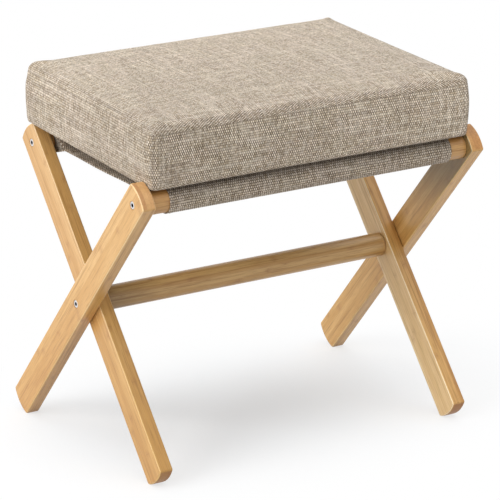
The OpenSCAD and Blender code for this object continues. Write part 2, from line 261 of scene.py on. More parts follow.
def bamboo(name, centre, turn, seed, face=PLAIN, narrow=PLAIN, low=PLAIN, painted_shadow=None):
    """Laminated bamboo under a satin lacquer: layers of strips, each strip with its own tint
    and node marks, fine fibres along it, and dotted end grain. The turn carries the strips'
    own length onto local Z, their width onto local Y. Numbers that multiply a place are
    grains per metre. No two pieces of bamboo are alike, and each has tints: face for the sides
    that face along X and narrow for the others, partly the piece's own tone and partly painted
    light and shade on those sides; low, painted shade near the floor. The last argument gives a
    painted shadow: an axis, the places on it where the shadow begins and is full, and its tint.
    One that goes by height lies on the side towards -X alone."""
    f = Finish(name)
    place = f.place()
    thick, wide, along = f.place(centre, turn)
    depth = thick / layer_thickness + (seed + 0.5)
    layer = f.floor(depth)
    lane = wide / strip_width + f.chance(layer + seed) * 0.9 + seed
    strip = f.floor(lane)
    key = strip * 7.31 + layer * 3.17 + seed * 1.7
    strip_tint = f.chance(key)
    # Fibres, streaks and a slow change of tone, all drawn out along the strip
    lift = key * 2.3
    fibre = f.noise(thick * 1100, wide * 1100, along * 45 + lift, detail=3)
    streak = f.noise(thick * 330 + lift, wide * 330, along * 9.5, detail=3, roughness=0.65)
    cloud = f.noise(thick * 130, wide * 130, along * 13 + seed, detail=3, roughness=0.6)
    # Node marks, where a strip's fibres bunch across its width
    wander = f.noise(thick * 260, wide * 420, along * 60, detail=2)
    step = along / node_spacing + f.chance(key + 5.3) + (wander - 0.5) * 0.035
    away = (step - f.floor(step) - 0.5).math("ABSOLUTE") * node_spacing
    knot = 1 - f.ease(away, 0.0008, 0.009)
    knot_line = 1 - f.ease(away, 0.0, 0.0011)
    # Glue lines between strips and between layers
    from_strip = (lane - strip - 0.5).math("ABSOLUTE")
    from_layer = (depth - layer - 0.5).math("ABSOLUTE")
    glue = f.ease(from_strip, 0.46, 0.5).math("MAXIMUM", f.ease(from_layer, 0.43, 0.49))
    grain = f.mix(BAMBOO_PALE, BAMBOO_MID, f.ease(strip_tint * 0.4 + cloud * 0.6, 0.22, 0.74))
    grain = f.mix(grain, BAMBOO_DARK, f.ease(streak, 0.49, 0.7) * 0.66)
    grain = f.mix(grain, BAMBOO_DARK, f.ease(fibre, 0.5, 0.72) * 0.46)
    grain = f.mix(grain, BAMBOO_NODE, knot * (wander * 0.5 + 0.05) + f.ease(cloud, 0.6, 0.75) * 0.2)
    grain = f.mix(grain, BAMBOO_DARK, knot_line * 0.3 + glue * 0.16)
    # End grain: cut bundles as dark dots in a warmer ground, and layers paler or darker
    dots = f.node(
        "ShaderNodeTexVoronoi",
        {"feature": "F1"},
        {"Vector": f.join(thick * 900, wide * 900, along * 40), "Scale": 1.0},
    )
    ends = f.mix(BAMBOO_END, BAMBOO_END_DARK, f.ease(streak, 0.35, 0.7) * 0.7)
    ends = f.mix(ends, BAMBOO_END_DARK, (1 - f.ease(dots, 0.12, 0.5)) * 0.5 + glue * 0.4)
    layer_tint = f.chance(layer * 1.9 + seed)
    ends = f.mix(ends, BAMBOO_END_DARK, f.ease(layer_tint, 0.45, 0.6) * 0.45)
    ends = f.mix(ends, BAMBOO_PALE, f.ease(layer_tint, 0.4, 0.2) * 0.35)
    # Painted shade: the ends that stand on the floor are darkened
    ends = f.mix(ends, BAMBOO_END_DARK, (1 - f.ease(place[2], 0.02, 0.05)) * 0.75)
    normal = f.node("ShaderNodeTexCoord", output=1)
    facing = f.node(
        "ShaderNodeVectorMath",
        {"operation": "DOT_PRODUCT"},
        {0: normal, 1: grain_axis(turn)},
        output=1,
    ).math("ABSOLUTE")
    cut = f.ease(facing, 0.78, 0.9)
    colour = f.mix(grain, ends, cut)
    # A painted highlight along the rounded edges: the colour there is made paler and brighter
    rightwards = f.split(normal)[0]
    sideways = rightwards * rightwards
    edge_highlight = f.ease(sideways * (1 - sideways), 0.14, 0.24)
    colour = f.mix(colour, BAMBOO_HIGHLIGHT, edge_highlight * 0.52)
    broad = f.ease(sideways, 0.35, 0.65)
    tints = [f.mix(narrow, face, broad), f.mix(low, PLAIN, f.ease(place[2], 0.05, 0.3))]
    # A painted shadow that darkens part of the piece
    if painted_shadow:
        axis, start, full, shadow_tint = painted_shadow
        share = f.ease(place[axis], start, full)
        if axis == 2:
            share = share * f.ease(rightwards, -0.6, -0.8)
        tints.append(f.mix(PLAIN, shadow_tint, share))
    for tint in tints:
        colour = f.mix(colour, tint, 1.0, "MULTIPLY")
    height = fibre * 0.5 - glue * 0.8 - knot_line * 0.5 - (1 - f.ease(dots, 0.1, 0.4)) * cut * 0.6
    return f.surface(
        Base_Color=colour,
        Roughness=0.4 + (streak - 0.5) * 0.2 + cut * 0.15,
        Coat_Weight=0.3 - cut * 0.15,
        Coat_Roughness=0.22,
        Normal=f.bump(height, 0.00012, 0.7),
    )


def zinc(name, centre, socket=0.0026):
    """Zinc plated steel with fine turned rings about the screw's axis, and painted shade in its socket."""
    f = Finish(name)
    x, y, z = f.place(centre)
    radius = (y * y + z * z).math("SQRT")
    rings = (radius * 9000 + f.noise(x * 200, y * 200, z * 200) * 2).math("SINE")
    dull = f.noise(x * 900, y * 900, z * 900, detail=3)
    shine = f.mix(ZINC_BRIGHT, ZINC_DULL, f.ease(dull, 0.4, 0.75))
    # Painted shade fills the socket
    shaded_socket = 1 - f.ease(radius, socket * 0.9, socket)
    return f.surface(
        Base_Color=f.mix(shine, SOCKET_SHADE, shaded_socket),
        Metallic=1.0,
        Roughness=0.26 + dull * 0.16,
        Normal=f.bump(rings, 0.00002, 0.5),
    )


def brass(name):
    """Turned brass with the ridges of an insert's outside thread."""
    f = Finish(name)
    x, y, z = f.place()
    ridge = (x * 4200 + y * 300).math("SINE")
    dull = f.noise(x * 700, y * 700, z * 700, detail=3)
    return f.surface(
        Base_Color=f.mix(BRASS_BRIGHT, BRASS_DULL, f.ease(dull, 0.4, 0.75)),
        Metallic=1.0,
        Roughness=0.3 + dull * 0.15,
        Normal=f.bump(ridge, 0.0001),
    )


def nylon(name):
    """Natural nylon, faintly mottled."""
    f = Finish(name)
    x, y, z = f.place()
    mottle = f.noise(x * 500, y * 500, z * 500, detail=3)
    return f.surface(
        Base_Color=f.mix(NYLON_PALE, NYLON_DULL, f.ease(mottle, 0.4, 0.7)),
        Roughness=0.42 + mottle * 0.1,
        Subsurface_Weight=0.1,
        Normal=f.bump(mottle, 0.00004),
    )


def linen(name, tone=1.0, open_weave=1.0, under=None, painted_light=False):
    """Slubby plain weave that follows the map named cloth, in metres: pale ends up the cloth
    pass over and under darker picks across it. Each yarn has a tone that drifts along it,
    neighbours go lighter and darker together in bands, and no two crossings are quite alike.
    Some yarns are thick and pale for a while, some thin, and these show more of the painted
    shade in the gaps. The tone multiplies the colour, and open_weave deepens the painted shade in
    the gaps. Under is for the sling: the map's place halfway along it and the way from there to
    the rails. The cloth has painted shade round a rail, beneath the cushion's edge, and painted
    shade everywhere behind the front sleeve. Where painted light is asked for, the front is
    painted lighter towards the right, the top lighter towards the back, and the ends darker
    towards the front."""
    f = Finish(name)
    u, v, _ = f.split(f.node("ShaderNodeUVMap", {"uv_map": "cloth"}))
    ends = u / end_pitch + (f.noise(u * 60, v * 45, detail=1) - 0.5) * 0.28
    end = f.floor(ends)
    picks = v / pick_pitch + (f.noise(u * 38, v * 60, 4.0, detail=1) - 0.5) * 0.45
    picks = picks + f.chance(end + 0.43) * 0.1
    pick = f.floor(picks)
    across, up = ends - end, picks - pick
    parity = (end + pick) * 0.5
    over = (parity - f.floor(parity)) * 2
    hump = (across * math.pi).math("SINE") * (up * math.pi).math("SINE")
    knob = f.chance(end * 3.17 + pick * 7.73 + 0.13)
    # Slubs along each yarn, and wider bands both ways
    end_slub = f.noise(end * 0.83, v * 22, 1.7, detail=2, roughness=0.6)
    pick_slub = f.noise(u * 18, pick * 0.79, 5.1, detail=2, roughness=0.6)
    band = f.noise(u * 190, v * 34, 8.2, detail=2)
    course = f.noise(u * 9, v * 60, 3.3, detail=2)
    end_tone = f.ease(end_slub * 0.45 + band * 0.4 + course * 0.2 + knob * 0.38, 0.49, 0.94)
    pick_tone = f.ease(pick_slub * 0.75 + band * 0.2 + course * 0.2 + knob * 0.34, 0.5, 1.0)
    pale, dark = f.mix(WARP_DULL, WARP_PALE, end_tone), f.mix(PICK_DARK, PICK_PALE, pick_tone)
    end_pair, pick_pair = f.floor(ends * 0.5) * 1.37, pick * 1.37
    thick_end, thin_end = (
        f.ease(f.noise(end_pair, v * 13, z, detail=1), 0.56, 0.68) for z in (11.4, 15.2)
    )
    thick_pick, thin_pick = (
        f.ease(f.noise(u * 13, pick_pair, z, detail=1), 0.57, 0.69) for z in (21.7, 27.9)
    )
    worn = f.chance(end * 5.31 + pick * 2.39 + 0.57)
    yarn = f.mix(dark, pale, over * (1 - worn * 0.12) + worn * 0.05)
    fluff = f.chance(end * 2.71 + pick * 9.43 + 0.31)
    yarn = f.mix(yarn, CLOTH_FLUFF, f.ease(fluff, 0.2, 1.0), "MULTIPLY")
    hair = f.noise(u * 2600, v * 2600, detail=2)
    seam = f.node("ShaderNodeAttribute", {"attribute_name": "seam"}, output=2)
    # Painted shade in the seams' folds and in the gaps and furrows between yarns, deeper where open_weave is
    # larger and where yarns are thin
    fold = 1 - f.ease(seam, 0.0, 0.0012)
    gap_shade = 1 - f.ease(hump, 0.0, 0.4)
    furrow_shade = 1 - f.ease((up * math.pi).math("SINE"), 0.1, 0.75)
    colour = f.mix(yarn, WEAVE_SHADE, (gap_shade * (0.2 + worn * 0.3) + furrow_shade * 0.3) * open_weave + fold * 0.1)
    colour = f.mix(colour, WEAVE_SHADE, thin_end * 0.15 + thin_pick * 0.17)
    colour = f.mix(colour, WARP_PALE, thick_end * 0.15 + thick_pick * 0.18)
    colour = f.mix(colour, WARP_PALE, f.ease(hair, 0.55, 0.8) * 0.1)
    # The yarn was dyed a little unevenly, towards pink here and straw there
    dye = f.noise(u * 30, v * 34, 6.6, detail=2)
    colour = f.mix(colour, f.mix(DYE_PINK, DYE_STRAW, f.ease(dye, 0.4, 0.6)), 0.8, "MULTIPLY")
    # Painted shade darkens the rounded edges, where the surface faces along no axis
    normal = f.node("ShaderNodeTexCoord", output=1)
    facing = f.node("ShaderNodeVectorMath", {"operation": "ABSOLUTE"}, {0: normal})
    left, front, top = f.split(facing)
    rim_shade = f.ease(1 - left.math("MAXIMUM", front).math("MAXIMUM", top), 0.02, 0.28)
    colour = f.mix(colour, CLOTH_EDGE_SHADE, rim_shade, "MULTIPLY")
    if painted_light:
        # Painted light and shade: the front lighter towards the right, the top lighter towards the back, the
        # ends darker towards the front
        x, y, _ = f.place()
        light_gradient = 1 + front * f.ease(x, -0.08, 0.22) * 0.16 + top * f.ease(y, -0.1, 0.12) * 0.11
        light_gradient = light_gradient - left * f.ease(y, 0.1, -0.12) * 0.1
        colour = f.mix(colour, f.join(light_gradient, light_gradient, light_gradient), 1.0, "MULTIPLY")
    if under:
        # Painted shade round a rail, beneath the cushion's edge
        halfway, to_rail = under
        over_rail = (v - halfway).math("ABSOLUTE") - to_rail
        shade_below_edge = f.ease(over_rail, -0.012, 0.02) * (1 - f.ease(over_rail, 0.03, 0.05))
        colour = f.mix(colour, UNDER_CUSHION_SHADE, shade_below_edge, "MULTIPLY")
        # Painted shade everywhere behind the front sleeve
        shade_behind = 1 - f.ease(v - halfway, to_rail - 0.07, to_rail - 0.05)
        colour = f.mix(colour, BEHIND_SLEEVE_SHADE, shade_behind, "MULTIPLY")
    if tone != 1.0:
        colour = f.mix(colour, (tone, tone, tone), 1.0, "MULTIPLY")
    thick = 0.6 + f.ease(pick_slub, 0.6, 0.75) * 0.3 + knob * 0.2
    height = hump * thick + over * 0.2 + hair * 0.1 - fold * 0.8
    return f.surface(
        Base_Color=colour,
        Roughness=0.86 + (hair - 0.5) * 0.1,
        Specular_IOR_Level=0.25,
        Sheen_Weight=0.12,
        Sheen_Roughness=0.5,
        Normal=f.bump(height, 0.0004, 0.8),
    )


def tape(name, colour):
    """Woven tape: ribs both ways, a product of two sines, under a fine nap."""
    f = Finish(name)
    x, y, z = f.place()
    rib = 0.0009
    wave = 2 * math.pi / rib
    ribs = (x * wave).math("SINE") * ((y + z) * wave).math("SINE")
    nap = f.noise(x * 2500, y * 2500, z * 2500, detail=2)
    pale = tuple(1.45 * c for c in colour)
    return f.surface(
        Base_Color=f.mix(colour, pale, f.ease(ribs * 0.25 + nap, 0.4, 0.85)),
        Roughness=0.8,
        Sheen_Weight=0.2,
        Normal=f.bump(ribs * 0.6 + nap * 0.5, 0.0002),
    )


def thread(name, colour):
    """Twisted sewing thread."""
    f = Finish(name)
    x, y, z = f.place()
    twist = ((x + y * 0.6 + z) * 9000).math("SINE")
    return f.surface(
        Base_Color=f.mix(colour, tuple(0.6 * c for c in colour), f.ease(twist, -0.2, 0.9) * 0.6),
        Roughness=0.6,
        Normal=f.bump(twist, 0.00008),
    )


# Making surfaces
def box_shell(xs, ys, zs):
    """A closed box of quads between three lists of places. Gives its points, its faces and,
    for each face, its side: 0 and 1 for the ends in X, 2 and 3 in Y, 4 and 5 in Z."""
    lines = [np.asarray(line, float) for line in (xs, ys, zs)]
    counts = [len(line) for line in lines]
    quads = []
    for axis in range(3):
        a, b = (axis + 1) % 3, (axis + 2) % 3
        ia, ib = np.meshgrid(np.arange(counts[a]), np.arange(counts[b]), indexing="ij")
        for end in (0, 1):
            index = [None] * 3
            index[a], index[b] = ia, ib
            index[axis] = np.full_like(ia, end * (counts[axis] - 1))
            code = (index[0] * counts[1] + index[1]) * counts[2] + index[2]
            ring = (code[:-1, :-1], code[1:, :-1], code[1:, 1:], code[:-1, 1:])
            side = np.stack(ring, -1).reshape(-1, 4)
            quads.append(side if end else side[:, ::-1])
    sides = np.repeat(np.arange(6), [len(q) for q in quads])
    codes, faces = np.unique(np.concatenate(quads), return_inverse=True)
    index = (codes // (counts[1] * counts[2]), codes // counts[2] % counts[1], codes % counts[2])
    points = np.stack([line[i] for line, i in zip(lines, index)], -1)
    return points, faces.reshape(-1, 4), sides


def pebble(centre, half, power, steps):
    """A rounded block: each point of a box moved out from the centre to the surface where the
    sum of |x/a|, |y/b| and |z/c|, each to the power, is one."""
    line = np.linspace(-1, 1, steps + 1)
    points, faces, _ = box_shell(line, line, line)
    size = (np.abs(points) ** power).sum(1) ** (1 / power)
    return points / size[:, None] * np.asarray(half) + np.asarray(centre), faces


def rods(starts, ends, radius, bow, up=(0, 0, 1)):
    """Many short round rods at once: along each the centre runs from start to end, rises by
    bow times the sine of the share travelled, and the radius falls off at both ends."""
    rings = 5
    around = 6
    starts, ends = np.asarray(starts, float), np.asarray(ends, float)
    up = np.broadcast_to(np.asarray(up, float), starts.shape)
    share = np.linspace(0, 1, rings)
    along = ends - starts
    length = np.linalg.norm(along, axis=1, keepdims=True)
    side = np.cross(along / length, up)
    side /= np.linalg.norm(side, axis=1, keepdims=True)
    top = np.cross(side, along / length)
    turn = np.arange(around) * 2 * np.pi / around
    width = radius * np.sqrt(1.02 - (2 * share - 1) ** 4)
    centre = starts[:, None] + along[:, None] * share[None, :, None]
    centre = centre + top[:, None] * (bow * np.sin(np.pi * share))[None, :, None]
    ring = side[:, None] * np.cos(turn)[None, :, None] + top[:, None] * np.sin(turn)[None, :, None]
    points = centre[:, :, None] + ring[:, None] * width[None, :, None, None]
    one = grid_faces(rings, around, closed=True)
    far = (rings - 1) * around
    fan = [(0, j, j + 1, (j + 2) % around) for j in range(1, around - 1, 2)]
    caps = [quad[::-1] for quad in fan] + [tuple(far + corner for corner in quad) for quad in fan]
    one = np.concatenate([one, np.array(caps)])[:, ::-1]
    many = one[None] + (np.arange(len(starts)) * rings * around)[:, None, None]
    return points.reshape(-1, 3), many.reshape(-1, 4)


def grid_faces(rows, columns, closed=False):
    """Quads of a grid of points numbered row by row. A closed row's end joins its start."""
    row = np.arange(rows - 1)[:, None] * columns
    here = np.arange(columns if closed else columns - 1)[None, :]
    after = (here + 1) % columns
    corners = [row + here, row + after, row + columns + after, row + columns + here]
    return np.stack(corners, -1).reshape(-1, 4)


def piece(name, parts, finish, cloth=None, seam=None):
    """A mesh object from parts, each an array of points and one of faces. cloth gives the
    weave's place at each face corner, and seam each point's distance from the nearest seam."""
    points, faces, start = [], [], 0
    for part_points, part_faces in parts:
        points.append(part_points)
        faces.append(part_faces + start)
        start += len(part_points)
    points, faces = np.concatenate(points), np.concatenate(faces)
    mesh = bpy.data.meshes.new(name)
    mesh.from_pydata(points.tolist(), [], faces.tolist())
    if cloth is not None:
        mesh.uv_layers.new(name="cloth").data.foreach_set("uv", cloth.astype(np.float32).ravel())
        layer = mesh.attributes.new("seam", "FLOAT", "POINT")
        away = np.ones(len(points)) if seam is None else seam
        layer.data.foreach_set("value", away.astype(np.float32))
    mesh.shade_smooth()
    mesh.materials.append(finish)
    mesh.update()
    obj = bpy.data.objects.new(name, mesh)
    scene.collection.objects.link(obj)
    return obj


def places(half, edge, fine, coarse):
    """Places from -half to half, fine apart within edge of each end and coarse between."""
    inside = half - edge
    outer = np.linspace(inside, half, round(edge / fine) + 1)
    inner = np.linspace(-inside, inside, round(2 * inside / coarse) + 1)
    return np.concatenate([-outer[:0:-1], inner, outer[1:]])


def ease(x, low, high):
    """0 below low, 1 above high, and a smooth step between, on arrays."""
    t = np.clip((x - low) / (high - low), 0, 1)
    return t * t * (3 - 2 * t)


# Frame: bamboo, metal and nylon over the CAD solids
def dress(node, finish):
    """Gives a CAD node its finish."""
    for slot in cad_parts[node].material_slots:
        slot.material = finish


# Each leg's side, its board's middle in X, its lean, a seed for its strips, and its own tints,
# partly its own tone and partly painted light and shade; the outer right leg's top has a painted shadow
for side, x, lean, seed, tints in (
    ("outer_left", -outer_leg_x, leg_lean, 3, {"face": (1.08, 1.09, 1.12), "low": (0.87, 0.79, 0.61)}),
    ("outer_right", outer_leg_x, leg_lean, 8, {
        "face": (1.02, 1.01, 0.92), "narrow": (0.93, 0.87, 0.72), "painted_shadow": (2, 0.24, 0.33, (0.41, 0.47, 0.56))
    }),
    ("inner_left", -inner_leg_x, -leg_lean, 14, {"face": (1.03, 1.02, 1.06), "low": (0.84, 0.77, 0.53)}),
    ("inner_right", inner_leg_x, -leg_lean, 21, {"face": (1.13, 1.34, 1.82), "narrow": (0.85, 0.75, 0.57)}),
):
    dress(f"{side}_leg", bamboo(f"bamboo_{side}", (x, 0, pivot.z), (lean, 0, 0), seed, **tints))

along_x = (0, math.pi / 2, 0)
# The rails' and the stretcher's narrow tints are painted shade, and the stretcher's left end has a painted
# shadow from the left legs
for node, axis, seed, tints in (
    ("front_rail", front_axis, 27, {"narrow": (0.75, 0.66, 0.56)}),
    ("rear_rail", rear_axis, 33, {"narrow": (0.75, 0.66, 0.56)}),
    ("stretcher", pivot, 38, {"narrow": (0.8, 0.785, 0.75), "painted_shadow": (0, -0.1, -0.215, (0.56, 0.58, 0.6))}),
):
    dress(node, bamboo(f"bamboo_{node}", axis, along_x, seed, **tints))

dress("front_rail_screws", zinc("zinc_front", front_axis))
dress("rear_rail_screws", zinc("zinc_rear", rear_axis))
dress("pivot_screws", zinc("zinc_pivot", pivot))
insert_brass = brass("brass")
for node in ("front_rail_inserts", "rear_rail_inserts", "stretcher_inserts"):
    dress(node, insert_brass)
dress("pivot_spacers", nylon("nylon"))

cover_linen = linen("linen_cover", tone=1.05, open_weave=1.12, painted_light=True)
dark_tape = tape("tape", TAPE_BROWN)
sling_thread = thread("sewing_thread", THREAD_PALE)


# Cushion

# Its place and form are fitted to the photograph, close to the CAD source's. The rounding is
# the radius of the edge round the top, 1, and round the base, -1.
cover_centre = Vector((0.0007, -0.0021, 0.3743))
cover_tilt = math.radians(1.4)
half_long = 0.226
half_deep = 0.1604
cover_height = 0.0781
corner_radius = 0.011
rounding = {1: 0.0105, -1: 0.005}
cushion_crown = 0.0055
side_draw = 0.0014
side_bulge = 0.0019
# Round the tops of the inner legs the base is pressed in, to this far from the rear rail's axis
notch_radius = 0.0262
# Heights this near to the top or the base are on it, and no length is divided by less
tiny = 1e-9


def plan_ring(x, y, away, inset):
    """Each ring at a distance away from the rim of the flat panel goes to the ring at its
    inset: its length and depth are scaled by theirs, and its corners become arcs of the
    corner radius less the inset."""
    least = 1e-6
    long = x * (half_long - inset) / np.maximum(half_long - away, least)
    deep = y * (half_deep - inset) / np.maximum(half_deep - away, least)
    sign = np.stack([np.sign(long), np.sign(deep)], -1)
    size = np.stack([np.abs(long), np.abs(deep)], -1)
    core = np.array([half_long, half_deep]) - corner_radius
    over = np.maximum(size - core, 0)
    way = over / np.maximum(np.linalg.norm(over, axis=1), tiny)[:, None]
    return (sign * (np.minimum(size, core) + over.max(1)[:, None] * way)).T


def to_rim(x, y):
    """How far a place on the flat panels lies from their rim."""
    return np.minimum(half_long - np.abs(x), half_deep - np.abs(y))


def drawn_in(place, half, share, level):
    """A place on a side, moved in by the draw times one less the square of its share of the way
    to a corner, and by the bulge times its level, the square of its way from mid height."""
    return place * (1 - side_draw / half * (1 - share**2)) * (1 - side_bulge / half * level)


def cushion_form(box):
    """The boxed form from a plain box of points, whose top and base are the flat panels. Each
    panel's outer band, a quarter circle long, turns down over its rounded edge: the inset is r
    times one less the sine of the angle turned, and the fall is r times one less its cosine.
    The band between them is upright. The sides are then drawn in between the corners and
    above and below mid height, and the top is crowned."""
    x, y, z = box.T
    away = to_rim(x, y)
    low, high = rounding[-1], cover_height - rounding[1]
    rise = low + (high - low) * z / cover_height
    inset = np.zeros_like(x)
    for end, radius in rounding.items():
        flat = z > cover_height - tiny if end > 0 else z < tiny
        band = radius * math.pi / 2
        turn = np.clip((band - away) / radius, 0, math.pi / 2)
        inner = radius + (away - band) * (half_deep - radius) / (half_deep - band)
        inset = np.where(flat, np.where(away < band, radius * (1 - np.sin(turn)), inner), inset)
        rise = np.where(flat, (high if end > 0 else low) + end * radius * np.cos(turn), rise)
    x, y = plan_ring(x, y, np.where(inset > 0, away, 0), inset)
    z = rise
    share_x, share_y = np.clip(x / half_long, -1, 1), np.clip(y / half_deep, -1, 1)
    level = (2 * z / cover_height - 1) ** 2
    x = drawn_in(x, half_long, share_y, level)
    y = drawn_in(y, half_deep, share_x, level)
    z = z + cushion_crown * (z / cover_height) ** 3 * (1 - share_x**2) * (1 - share_y**2)
    return np.stack([x, y, z], -1)


def lay_down(points):
    """Tilts the form about X, as it lies with its rear on the inner legs' tops. Between them
    its base sags on to the fastening strips, and it is pressed in round the legs' ends: up
    about the rear rail's axis, and inwards beside the outer legs. All of it fades with height."""
    x, y, z = points.T
    c, s = math.cos(cover_tilt), math.sin(cover_tilt)
    place = np.stack([x, y * c - z * s, y * s + z * c], -1) + np.array(cover_centre)
    dented_height = 0.05
    fade = np.clip(1 - z / dented_height, 0, 1) ** 2
    x, y, z = place.T
    end = np.abs(x)
    base_room = 0.0003
    sag = np.maximum(cover_centre.z + (y - cover_centre.y) * s - base - base_room, 0)
    between_legs = 1 - ease(end, 0.178, 0.202)
    towards_rear = ease(y, -0.02, 0.1)
    z = z - sag * between_legs * towards_rear * fade
    dip = y - rear_axis.y
    dent = rear_axis.z + np.sqrt(np.maximum(notch_radius**2 - dip**2, 0)) - z
    over_leg = ease(end, 0.196, 0.2022)
    z = z + np.maximum(dent, 0) * over_leg * (np.abs(dip) < notch_radius) * fade
    beside = ease(y, -0.164, -0.157) * (1 - ease(y, -0.131, -0.122)) * (1 - ease(z, 0.3805, 0.391))
    half_room = 0.2215
    x = x - np.sign(x) * np.maximum(end - half_room, 0) * beside
    return np.stack([x, y, z], -1)


def make_cushion():
    """The cover. The long panels are flat, the end panels wrap round the upright corners, and
    the top and base panels turn over the edges; the map cloth lies along each."""
    fine_band = 0.026
    fine_step = 0.0016
    coarse_step = 0.006
    xs = places(half_long, fine_band, fine_step, coarse_step)
    ys = places(half_deep, fine_band, fine_step, coarse_step)
    edge = 0.006
    low_zs = np.linspace(0, edge, 6)[:-1]
    middle_zs = np.linspace(edge, cover_height - edge, 18)
    high_zs = np.linspace(cover_height - edge, cover_height, 6)[1:]
    zs = np.concatenate([low_zs, middle_zs, high_zs])
    box, faces, sides = box_shell(xs, ys, zs)
    corner = corner_radius * math.pi / 4

    def wrapped(place, half):
        """Length along a face whose ends bend half way round an upright corner."""
        flat = half - corner_radius
        bent = np.clip((np.abs(place) - flat) / corner_radius, 0, 1) * corner
        return np.sign(place) * (np.minimum(np.abs(place), flat) + bent)

    x, y, z = box[faces].transpose(2, 0, 1)
    middle_x = np.abs(x.mean(1, keepdims=True))
    tall = (z - cover_height / 2) * (1 - (rounding[1] + rounding[-1]) / cover_height)
    side = sides[:, None]
    round_end = (side < 2) | ((side < 4) & (middle_x > half_long - corner_radius))
    past_corner = wrapped(half_long, half_long) - np.abs(wrapped(x, half_long))
    beyond = (half_deep - corner_radius + corner) + past_corner
    on_end = np.where(side < 2, wrapped(y, half_deep), np.sign(y) * beyond)
    # The ends run up the long and end panels and lengthwise over the top and base, where the
    # weave is closer by two shares. What is added keeps the panels from matching at the seams.
    closer_ends = 1.07
    closer_picks = 1.3
    flat_u = y * closer_ends + 3.7 * (side - 4.5)
    cloth_u = np.where(side > 3, flat_u, wrapped(x, half_long) + 1.3 * np.sign(y))
    cloth_u = np.where(round_end, on_end + 4.4 * np.sign(x), cloth_u)
    cloth_v = np.where(side > 3, x * closer_picks, tall + 2.1)
    cloth = np.stack([cloth_u, cloth_v], -1)
    # Distance from the seams: round the top and base panels, and up the long panels' ends
    x, y, z = np.abs(box.T)
    away = to_rim(x, y)
    level = np.minimum(z, cover_height - z)
    seam = np.where(level < tiny, away, np.where(away < tiny, level, 1.0))
    upright_seam = np.where(half_deep - y < tiny, np.abs(x - half_long + corner_radius), 1.0)
    # A seam's groove falls off as a bell does, and goes in along the normal of a rounded block
    form = cushion_form(box)
    out = form / [half_long, half_deep, cover_height / 2] - [0, 0, 1]
    out = out * np.abs(out) ** 6
    out = out / np.linalg.norm(out, axis=1)[:, None]
    groove_width = 0.0016
    groove = 0.0003 * np.exp(-((seam / groove_width) ** 2))
    groove = groove + 0.0001 * np.exp(-((upright_seam / groove_width) ** 2))
    points = lay_down(form - out * groove[:, None])
    seam = np.minimum(seam, upright_seam)
    cushion = piece("cushion", [(points, faces)], cover_linen, cloth, seam)
    swell(cushion, box)
    smooth = cushion.modifiers.new("smooth", "SUBSURF")
    smooth.levels = smooth.render_levels = 1
    return cushion


def coordinates(mesh):
    """A mesh's points as one array."""
    flat = np.empty(len(mesh.vertices) * 3, np.float32)
    mesh.vertices.foreach_get("co", flat)
    return flat.reshape(-1, 3).astype(float)


def swell(cushion, box):
    """Lets the cloth fill out under the push of the foam, with the base and the seams held,
    then keeps each point within its reach: some on the top, a little on the sides."""
    mesh = cushion.data
    start = coordinates(mesh)
    x, y, z = box.T
    held = cushion.vertex_groups.new(name="held")
    held_height = 0.012
    low = np.flatnonzero(z < held_height)
    held.add(low.tolist(), 1.0, "REPLACE")
    away = to_rim(x, y)
    rim_width = 0.002
    rim = np.flatnonzero((z > cover_height - rim_width) & (away < rim_width))
    held.add(rim.tolist(), 0.15, "REPLACE")
    fill = cushion.modifiers.new("fill", "CLOTH")
    cloth = fill.settings
    cloth.quality = 4
    cloth.mass = 0.3
    cloth.tension_stiffness = cloth.compression_stiffness = 20
    cloth.shear_stiffness = 8
    cloth.bending_stiffness = 1.5
    cloth.use_pressure = True
    cloth.uniform_pressure_force = 4
    cloth.vertex_group_mass = "held"
    cloth.effector_weights.gravity = 0
    last_moment = 20
    for moment in range(1, last_moment + 1):
        scene.frame_set(moment)
    filled = cushion.evaluated_get(bpy.context.evaluated_depsgraph_get())
    push = coordinates(filled.data) - start
    cushion.modifiers.remove(fill)
    cushion.vertex_groups.clear()
    scene.frame_set(1)
    # The reach fades out over the zip's band and the base, which stay where they are
    zip_band = ease(y, half_deep - 0.02, half_deep) * (1 - ease(np.abs(z - cover_height / 2), 0.016, 0.03))
    side_reach = 0.0006
    more_on_top = 0.0014
    reach = (side_reach + more_on_top * ease(z, 0.6 * cover_height, cover_height)) * ease(z, 0.004, 0.02)
    reach = reach * (1 - zip_band) + tiny
    length = np.maximum(np.linalg.norm(push, axis=1), tiny)
    push *= (reach * np.tanh(length / reach) / length)[:, None]
    mesh.vertices.foreach_set("co", (start + push).astype(np.float32).ravel())
    mesh.update()


cushion = make_cushion()
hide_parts("cushion_cover", "cushion_wadding", "cushion_foam")
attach(cushion, "cushion")


# Sling

# An end hem's length, and how high its middle lies above the panel's
hem_length = 0.014
hem_drop = 0.0016
# Stitches: how far apart they begin, the share of that which one covers, and their thread's
# radius, rise and height off the cloth
stitch_pitch = 0.0034
stitch_share = 0.72
thread_radius = 0.0003
thread_bow = 0.0001
thread_lift = 0.0001
# Where the sling's weave begins on its map
weave_start = 3.1


